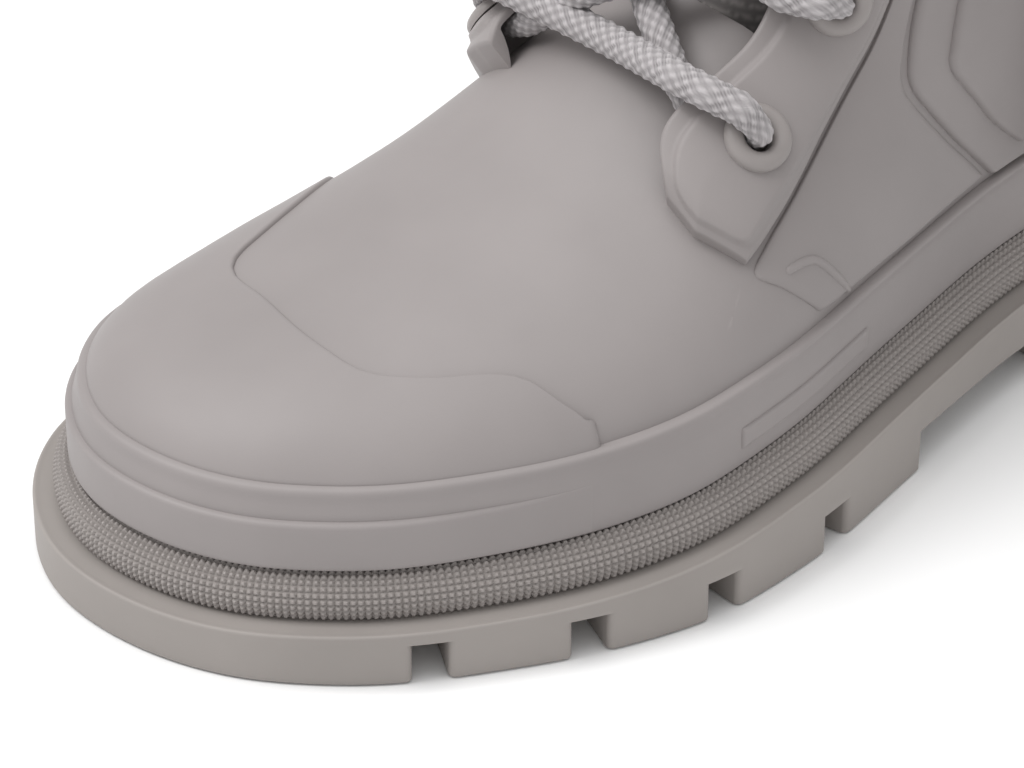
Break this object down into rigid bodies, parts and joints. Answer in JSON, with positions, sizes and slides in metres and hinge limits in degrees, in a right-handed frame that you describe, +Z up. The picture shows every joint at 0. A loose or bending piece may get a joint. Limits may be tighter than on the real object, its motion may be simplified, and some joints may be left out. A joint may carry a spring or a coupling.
{
  "type": "lace-up rubber deck boot",
  "caption": "Moulded rubber lace-up boot for wet decks: lugged sole with a knurled foxing band, toe cap, heel panels, flared lacing flaps with domed eyelets and a padded tongue. Left boot.",
  "frame": {"origin": "middle of the sole's plan outline, on the floor", "axes": "+Z up, toe towards -Y, outer (lateral) side of this left boot towards +X"},
  "size_m": [0.1228, 0.293, 0.226],
  "materials": {
    "rubber": "matte warm grey, moulded",
    "sole": "matte warm grey, slightly darker",
    "band": "matte, knurled in small pyramids",
    "lace": "flat woven polyester cord, light grey",
    "textile": "knitted lining, grey",
    "foam": "closed-cell foam, matte",
    "board": "fibre board",
    "steel": "plain",
    "plastic": "matte"
  },
  "bodies": {
    "boot": {"outsole": "sole", "midsole": "foam", "knurled_band": "band", "rand": "rubber", "toe_bumper": "rubber", "upper_shell": "rubber", "lining": "textile", "toe_puff": "plastic", "heel_stiffener": "plastic", "insole_board": "board", "shank": "steel", "toe_cap": "rubber", "quarter_lateral": "rubber", "heel_counter_lateral": "rubber", "heel_pad_lateral": "rubber", "collar_panel_lateral": "rubber", "tab_frame_lateral": "rubber", "quarter_medial": "rubber", "heel_counter_medial": "rubber", "heel_pad_medial": "rubber", "collar_panel_medial": "rubber", "tab_frame_medial": "rubber", "backstay": "rubber", "rand_bar": "rubber", "facing_lateral": "rubber", "eyelet_lateral_1": "rubber", "eyelet_lateral_2": "rubber", "eyelet_lateral_3": "rubber", "eyelet_lateral_4": "rubber", "eyelet_lateral_5": "rubber", "eyelet_lateral_6": "rubber", "facing_medial": "rubber", "eyelet_medial_1": "rubber", "eyelet_medial_2": "rubber", "eyelet_medial_3": "rubber", "eyelet_medial_4": "rubber", "eyelet_medial_5": "rubber", "eyelet_medial_6": "rubber", "collar_bead": "rubber", "pull_tab": "rubber", "lace": "lace", "aglet_1": "plastic", "aglet_2": "plastic"},
    "tongue_body": {"tongue": "textile"},
    "footbed_body": {"footbed": "foam"}
  },
  "joints": [
    {"name": "tongue_hinge", "type": "hinge", "parent": "boot", "child": "tongue_body", "pos_m": [0, -0.0235, 0.076], "axis": [-1, 0, 0], "range_deg": [0, 10]},
    {"name": "footbed_lift", "type": "hinge", "parent": "boot", "child": "footbed_body", "pos_m": [0, -0.125, 0.0245], "axis": [1, 0, 0], "range_deg": [0, 3]}
  ]
}
